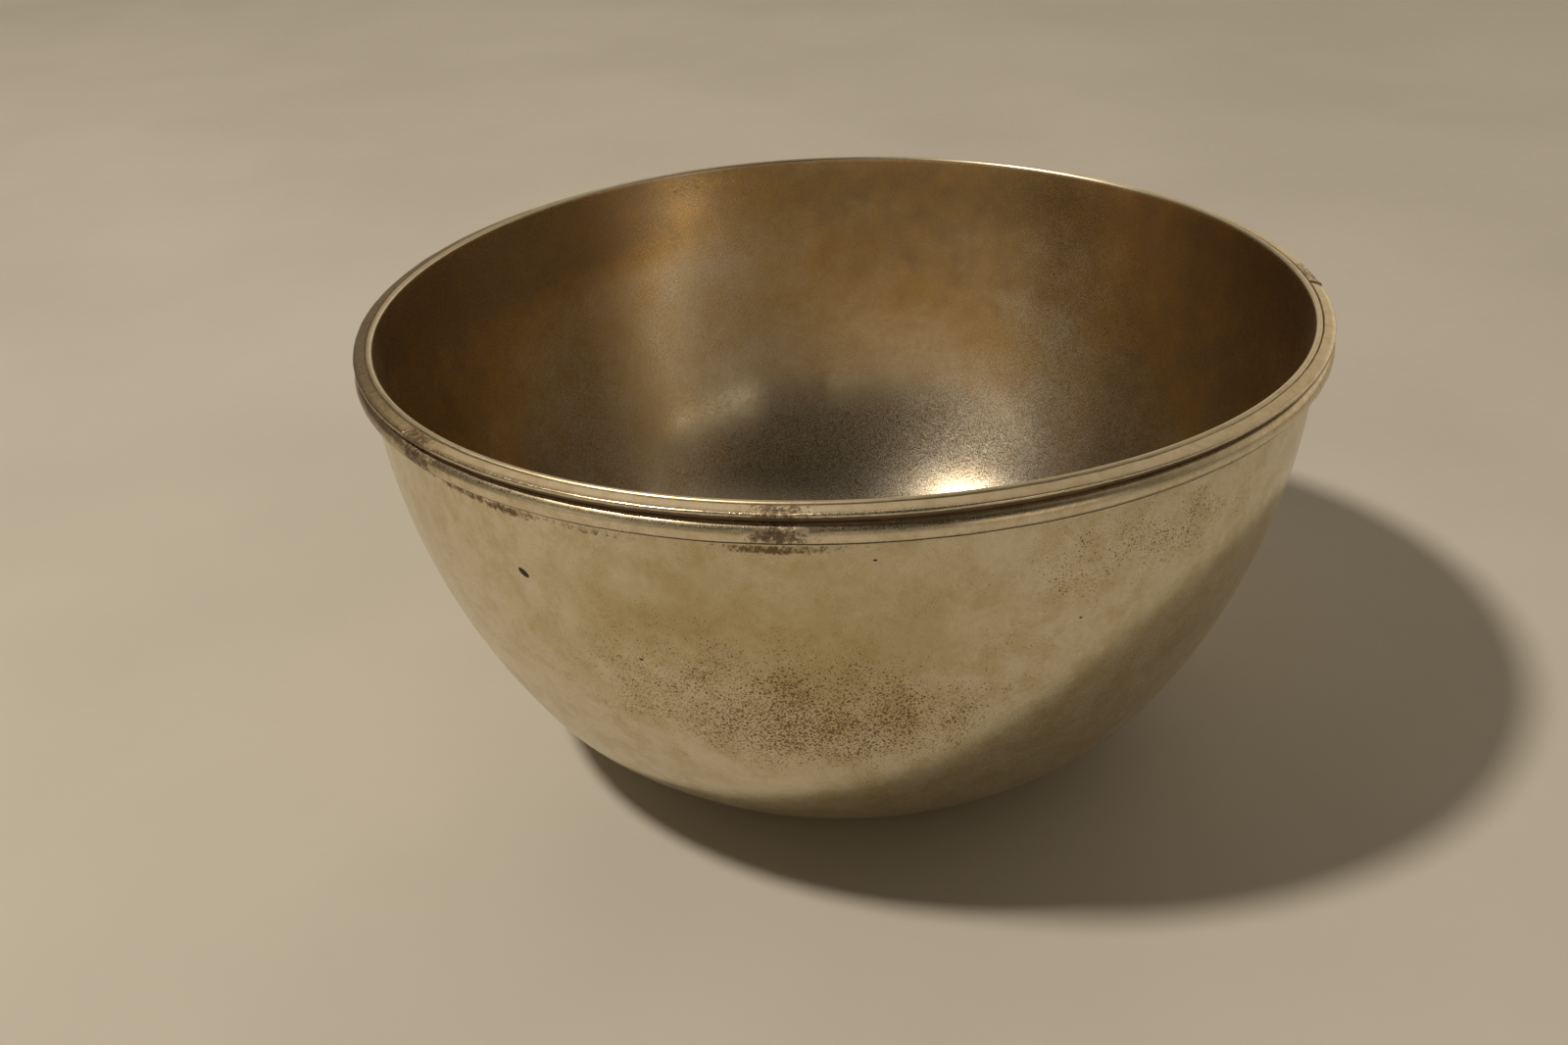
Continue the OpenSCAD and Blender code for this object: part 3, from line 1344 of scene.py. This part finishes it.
@dataclass
class RimWire:
    """One of the two drawn wires round the lip, open at the soldered joint."""

    node: str
    seed: int
    finish: WornPlate
    width: float = 1.5
    columns: int = 1060
    step: float = 0.09
    clusters: tuple[Cluster, ...] = (Cluster(-141.5, 2.6, 26), Cluster(-95.5, 3.4, 22))
    stray_sites: int = 30
    site_size: tuple[float, float] = (0.10, 0.26)
    dip: float = 0.06

    def corners(self, low: np.ndarray, high: np.ndarray) -> tuple[np.ndarray, np.ndarray]:
        """Corners of the wire's section, anticlockwise from the back's foot.

        Args:
            low: The node's lowest corner.
            high: The node's highest corner.

        Returns:
            Corner points and rounding radii.
        """
        raise NotImplementedError

    def build(self) -> bpy.types.Object:
        """Makes and dresses the wire.

        Returns:
            The finished piece.
        """
        corners, radii = self.corners(*node_box_mm(self.node))
        outline = softened(corners, radii, self.step)
        _, joint_high = node_box_mm("wire_joint")
        half = math.asin(joint_high[1] / joint_high[0])
        azimuth = np.linspace(half, FULL_TURN - half, self.columns)
        shape = Turned(self.node + "_worn", outline, azimuth, looped=True, whole=False, strips=8)
        grid = shape.grid()
        piece = shape.build(self.wear(grid), self.paint(grid))
        piece.data.materials.append(self.finish.material())
        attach(piece, "root")
        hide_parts(self.node)
        return piece

    def wear(self, grid: Grid) -> np.ndarray:
        """How far the wire stands off its drawn section: waves, and dips where it is corroded.

        Args:
            grid: The surface's places.

        Returns:
            Millimetres outwards.
        """
        waves = Unevenness(self.seed, height=0.012, waves=30, most_turns=90, shortest_pitch=1.5)
        outer = ramp(grid.radius - grid.radius.max() + 0.35, 0.2)
        return waves.at(grid) - self.dip * self.corroded(grid) * outer

    def corroded(self, grid: Grid) -> np.ndarray:
        """Small pits crowded in the clusters, and a few strays all round.

        Args:
            grid: The surface's places.

        Returns:
            Depth from 0 to 1.
        """
        draw = np.random.default_rng(self.seed + 100)
        crowded = [draw.normal(c.middle, c.spread, c.count) for c in self.clusters]
        sites = np.concatenate([*crowded, draw.uniform(-180, 180, self.stray_sites)])
        level = draw.uniform(grid.height.min(), grid.height.max(), len(sites))
        size = draw.uniform(*self.site_size, len(sites))
        total = np.zeros_like(grid.angle)
        for azimuth, place, half in zip(sites, level, size):
            total += Mark(azimuth, place, half * 1.4, half).over(grid)
        return np.clip(total, 0.0, 1.0)

    def paint(self, grid: Grid) -> dict[str, np.ndarray]:
        """Painted values over the wire: grime in broad marks, grime and painted shade in the hollows,
        tarnish on the left.

        Args:
            grid: The surface's places.

        Returns:
            Values by attribute name.
        """
        middle = grid.height.mean()
        grime = (
            Mark(-141.5, middle, 5.2, 3.0, 0.52),
            Mark(-96.5, middle, 5.4, 3.0, 0.50),
            Mark(3.0, middle, 7.0, 3.0, 0.45),
            Mark(-112.0, middle, 3.0, 3.0, 0.28),
            Mark(178.0, middle, 16.0, 3.0, 0.30),
        )
        left = band(np.angle(np.exp(1j * (grid.angle - math.pi))), 0.0, 0.75)
        return {
            "tarnish": 0.20 + left,
            "speckle": 0.12 + 0.5 * left,
            # The stain holds the grime and also the painted shade in the wire's hollows.
            "stain": np.maximum(all_marks(grime, grid), self.grime_and_shade_lines(grid)),
            "polish": self.rubbed(grid),
        }

    def rubbed(self, grid: Grid) -> np.ndarray:
        """Where use has polished the wire: evenly, unless its own shape says otherwise."""
        return np.full(grid.radius.shape, 0.7)

    def grime_and_shade_lines(self, grid: Grid) -> np.ndarray:
        """Dirt and painted shade that fill the wire's hollows.

        Args:
            grid: The surface's places.

        Returns:
            Stain from 0 to 1.
        """
        raise NotImplementedError


@dataclass
class CapWire(RimWire):
    """The cap wire: a top face that falls outwards, a plain edge and a cove below.

    Its edge stands back from the bead's by recess.
    """

    fall: float = 0.35
    edge: float = 0.5
    cove: float = 0.6
    recess: float = 0.2
    cove_points: int = 11

    def grime_and_shade_lines(self, grid: Grid) -> np.ndarray:
        """Painted shade and rust-brown dirt in the cove, and a little darkening along the crevice beside
        the lip.

        Args:
            grid: The surface's places.

        Returns:
            Stain from 0 to 1.
        """
        # The lowest 0.8 mm of the cap wire, its cove and the foot of its edge, is painted dark: dirt and
        # painted shade under the cap's overhang.
        under = ramp(grid.height.min() + 0.80 - grid.height, 0.12)
        back = ramp(grid.radius.min() + 0.10 - grid.radius, 0.08)
        return np.maximum(0.85 * under, 0.1 * back)

    def rubbed(self, grid: Grid) -> np.ndarray:
        """Bright along the rounded outer edge, dull on the top face."""
        return 0.1 + 0.9 * ramp(grid.radius - grid.radius.max() + 0.55, 0.3)

    def corners(self, low: np.ndarray, high: np.ndarray) -> tuple[np.ndarray, np.ndarray]:
        """Corners of the section, anticlockwise from the back's foot.

        Args:
            low: The node's lowest corner.
            high: The node's highest corner.

        Returns:
            Corner points and rounding radii.
        """
        back, rim = high[1] - self.width, high[1] - self.recess
        edge_top = high[2] - self.fall
        edge_low = edge_top - self.edge
        cove_high = edge_low - low[2]
        cove = arc((rim - self.cove + cove_high, low[2]), cove_high, 180.0, 90.0, self.cove_points)
        upper = [[rim, edge_low], [rim, edge_top], [back, high[2]]]
        points = np.concatenate([[[back, low[2]]], cove, upper])
        radii = np.concatenate([[0.03], np.zeros(self.cove_points), [0.06, 0.30, 0.05]])
        return points, radii


@dataclass
class BeadWire(RimWire):
    """The bead wire: a round face between two narrow flats."""

    land: float = 0.55
    face_points: int = 41

    def grime_and_shade_lines(self, grid: Grid) -> np.ndarray:
        """Painted shade and dark dirt on the flat under the cap wire, and black dirt in the seam below the
        bead.

        Args:
            grid: The surface's places.

        Returns:
            Stain from 0 to 1.
        """
        # The bead's top flat, under the cap wire's overhang, is painted dark: dirt and painted shade.
        above = ramp(grid.height - grid.height.max() + 0.07, 0.05)
        below = ramp(grid.height.min() + 0.58 - grid.height, 0.20)
        return np.maximum(0.85 * above, below)

    def corners(self, low: np.ndarray, high: np.ndarray) -> tuple[np.ndarray, np.ndarray]:
        """Corners of the section, anticlockwise from the back's foot.

        Args:
            low: The node's lowest corner.
            high: The node's highest corner.

        Returns:
            Corner points and rounding radii.
        """
        back, half = high[1] - self.width, (high[2] - low[2]) / 2
        middle = (self.width**2 - self.land**2 - half**2) / (2 * (self.width - self.land))
        round_radius = self.width - middle
        reach = math.degrees(math.asin(half / round_radius))
        face = arc((back + middle, low[2] + half), round_radius, -reach, reach, self.face_points)
        points = np.concatenate([[[back, low[2]]], face, [[back, high[2]]]])
        radii = np.concatenate([[0.03], np.zeros(self.face_points), [0.03]])
        return points, radii


@dataclass
class Solder:
    """The run of solder between the wall and the wires, with its fillet under the bead.

    Above, it is wiped nearly flush with the cap wire: it stands higher than drawn by wiped.
    """

    node: str = "rim_solder"
    wiped: float = 0.07
    columns: int = 720
    waves: Unevenness = Unevenness(seed=5, height=0.04, waves=40, most_turns=160, shortest_pitch=0.8)
    finish: DullSolder = DullSolder("solder_run", colour=(0.36, 0.29, 0.19), dirt=(0.17, 0.13, 0.085))

    def build(self) -> bpy.types.Object:
        """Makes and dresses the solder.

        Returns:
            The finished piece.
        """
        low, high = node_box_mm(self.node)
        _, shell_high = node_box_mm("bowl_shell")
        _, cap_high = node_box_mm("cap_wire")
        bead_low, _ = node_box_mm("bead_wire")
        wall, back = shell_high[1], cap_high[1] - CapWire.width
        foot, crest = bead_low[2], high[2] + self.wiped
        corners = np.array([[wall, low[2]], [high[1], foot], [back, foot], [back, crest], [wall, crest]])
        outline = softened(corners, np.array([0.02, 0.04, 0.01, 0.03, 0.03]), 0.12, 3)
        azimuth = np.arange(self.columns) * FULL_TURN / self.columns
        shape = Turned(self.node + "_worn", outline, azimuth, looped=True, whole=True, strips=8)
        grid = shape.grid()
        free = ramp(foot - grid.height, 0.1) * ramp(grid.radius - wall, 0.05)
        piece = shape.build((self.waves.at(grid) - 0.02) * free, {})
        piece.data.materials.append(self.finish.material())
        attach(piece, "root")
        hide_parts(self.node)
        return piece


@dataclass
class Joint:
    """The soldered butt joint that fills the gap between the wires' ends, and bulges out of it."""

    cap: CapWire
    bead: BeadWire
    node: str = "wire_joint"
    columns: int = 14
    bulge: float = 0.10
    waves: Unevenness = Unevenness(seed=8, height=0.05, waves=20, most_turns=300, shortest_pitch=0.6)
    finish: DullSolder = DullSolder("solder_joint", colour=(0.30, 0.23, 0.15), dirt=(0.05, 0.03, 0.02))

    def build(self) -> bpy.types.Object:
        """Makes and dresses the joint.

        Returns:
            The finished piece.
        """
        _, high = node_box_mm(self.node)
        cap_low, cap_high = node_box_mm(self.cap.node)
        cap_points, cap_radii = self.cap.corners(cap_low, cap_high)
        bead_points, bead_radii = self.bead.corners(*node_box_mm(self.bead.node))
        corners = np.concatenate([bead_points[:-1], cap_points[1:]])
        outline = softened(corners, np.concatenate([bead_radii[:-1], cap_radii[1:]]), 0.1)
        half = math.asin(high[1] / high[0])
        azimuth = np.linspace(-half, half, self.columns)
        shape = Turned(self.node + "_worn", outline, azimuth, looped=True, whole=False, strips=1)
        grid = shape.grid()
        across = 1.0 - (grid.angle / half) ** 2
        outer = ramp(grid.radius - cap_high[1] + 0.9, 0.4)
        piece = shape.build(across * outer * (self.bulge + self.waves.at(grid)), {})
        piece.data.materials.append(self.finish.material())
        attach(piece, "root")
        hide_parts(self.node)
        return piece


# ---------------------------------------------------------------- the studio


@dataclass(frozen=True)
class Studio:
    """A pale table, one soft key lamp above left, and a dim warm room for the metal to mirror.

    Horizon gives the room's level round the bowl as pairs of azimuth in degrees and level. Fade is
    the height between which it dies away, and glow a soft bright patch high behind the bowl.
    """

    table_reach: float = 12.0
    key_place: tuple[float, float, float] = (-0.475, -0.139, 0.9)
    key_size: float = 0.10
    key_power: float = 6.5
    key_colour: Colour = (1.0, 0.87, 0.69)
    room_colour: Colour = (1.0, 0.83, 0.59)
    overhead: float = 0.01
    fade: tuple[float, float] = (0.26, 0.48)
    horizon: tuple[tuple[float, float], ...] = (
        (-180.0, 0.08),
        (-166.0, 0.18),
        (-157.0, 0.56),
        (-144.0, 0.50),
        (-128.0, 0.20),
        (-100.0, 0.28),
        (-86.0, 0.42),
        (-85.0, 0.12),
        (-67.0, 0.14),
        (-59.0, 0.90),
        (-38.0, 0.66),
        (-30.0, 0.08),
        (-10.0, 0.08),
        (60.0, 0.48),
        (90.0, 0.24),
        (118.0, 0.08),
        (180.0, 0.08),
    )
    glow_place: tuple[float, float, float] = (0.45, 0.75, 0.48)
    glow_edge: tuple[float, float] = (0.1, 0.9)
    glow_level: float = 0.37
    table: PaintedTable = PaintedTable("table_top", colour=(0.66, 0.64, 0.60), shade=(0.60, 0.58, 0.54))

    def build(self) -> None:
        """Makes the table, the lamp and the room."""
        self.add_table()
        self.add_key()
        self.add_room()

    def add_table(self) -> None:
        """A table top whose surface is at height 0."""
        mesh = bpy.data.meshes.new("table")
        reach = self.table_reach
        corners = [(-reach, -reach, 0.0), (reach, -reach, 0.0), (reach, reach, 0.0), (-reach, reach, 0.0)]
        mesh.from_pydata(corners, [], [(0, 1, 2, 3)])
        table = bpy.data.objects.new("table", mesh)
        bpy.context.scene.collection.objects.link(table)
        mesh.materials.append(self.table.material())

    def add_key(self) -> None:
        """The key lamp: a small disc that faces the bowl."""
        lamp = bpy.data.lights.new("key", "AREA")
        lamp.shape = "DISK"
        lamp.size = self.key_size
        lamp.energy = self.key_power
        lamp.color = self.key_colour
        holder = bpy.data.objects.new("key", lamp)
        bpy.context.scene.collection.objects.link(holder)
        holder.location = self.key_place
        holder.rotation_euler = (-Vector(self.key_place)).to_track_quat("-Z", "Y").to_euler()

    def add_room(self) -> None:
        """The room's dim light: dark overhead, pale round the horizon and behind the bowl.

        Strength is overhead + (horizon level by azimuth) * (share that falls off with height) +
        (glow by the angle to its middle).
        """
        world = bpy.data.worlds.new("room")
        bpy.context.scene.world = world
        world.use_nodes = True
        board = Board(world.node_tree)
        output = board.tree.nodes.new("ShaderNodeOutputWorld")
        background = board.tree.nodes.new("ShaderNodeBackground")
        board.tree.links.new(background.outputs[0], output.inputs[0])
        outwards = board.tree.nodes.new("ShaderNodeTexCoord").outputs["Generated"]
        x, y, z = board.split(outwards)
        round_share = board.blend(board.math("ARCTAN2", y, x), 1.0 / FULL_TURN, 0.5)
        low = board.span(z, *self.fade, 1.0, 0.0)
        level = board.blend(self.horizon_ramp(board, round_share), low, self.overhead)
        towards = board.vector("DOT_PRODUCT", outwards, Vector(self.glow_place).normalized())
        glow = board.span(towards.outputs["Value"], *self.glow_edge, 0.0, self.glow_level)
        strength = board.math("ADD", level, glow)
        board.fill(background, {"Color": (*self.room_colour, 1.0), "Strength": strength})

    def horizon_ramp(self, board: Board, round_share: bpy.types.NodeSocket) -> bpy.types.NodeSocket:
        """The horizon's level by azimuth.

        Args:
            board: The room's board.
            round_share: The azimuth as a share of a full turn, from 0 at -180 degrees.

        Returns:
            The level.
        """
        bands = board.tree.nodes.new("ShaderNodeValToRGB")
        board.feed(bands.inputs[0], round_share)
        stops = bands.color_ramp.elements
        while len(stops) < len(self.horizon):
            stops.new(0.5)
        for stop, (azimuth, level) in zip(stops, self.horizon):
            stop.position = (azimuth + 180.0) / 360.0
            stop.color = (level, level, level, 1.0)
        return bands.outputs[0]


@dataclass(frozen=True)
class Viewpoint:
    """The camera: its place in metres and its pitch, roll and heading in degrees."""

    place: tuple[float, float, float] = (0.0, -0.192321, 0.132190)
    turn: tuple[float, float, float] = (60.590, 2.429, 1.021)
    sensor: float = 36.0
    lens: float = 38.25
    reach: tuple[float, float] = (0.005, 50.0)

    def build(self) -> None:
        """Makes the camera and sets it as the scene's own."""
        camera = bpy.data.cameras.new("viewer")
        camera.sensor_width = self.sensor
        camera.lens = self.lens
        camera.clip_start, camera.clip_end = self.reach
        holder = bpy.data.objects.new("viewer", camera)
        bpy.context.scene.collection.objects.link(holder)
        turn = Euler([math.radians(angle) for angle in self.turn]).to_matrix().to_4x4()
        holder.matrix_world = Matrix.Translation(Vector(self.place)) @ turn
        bpy.context.scene.camera = holder


def main() -> None:
    """Builds the bowl's pieces in order, then the studio and the camera."""
    logging.basicConfig(level=logging.INFO, format="%(message)s")
    bpy.context.scene.view_settings.view_transform = "Standard"
    wire = WornPlate(
        "plate_wire",
        bright=(0.80, 0.71, 0.54),
        warm=(0.62, 0.50, 0.31),
        brown=(0.21, 0.16, 0.11),
        gloss=0.16,
        satin=0.46,
        haze=0.60,
        cloud=7.0,
    )
    cap = CapWire("cap_wire", 21, wire)
    bead = BeadWire("bead_wire", 22, wire)
    for part in (Shell(), cap, bead, Solder(), Joint(cap, bead)):
        piece = part.build()
        log.info("built %s: %d faces", piece.name, len(piece.data.polygons))
    Studio().build()
    Viewpoint().build()


if __name__ == "__main__":
    main()
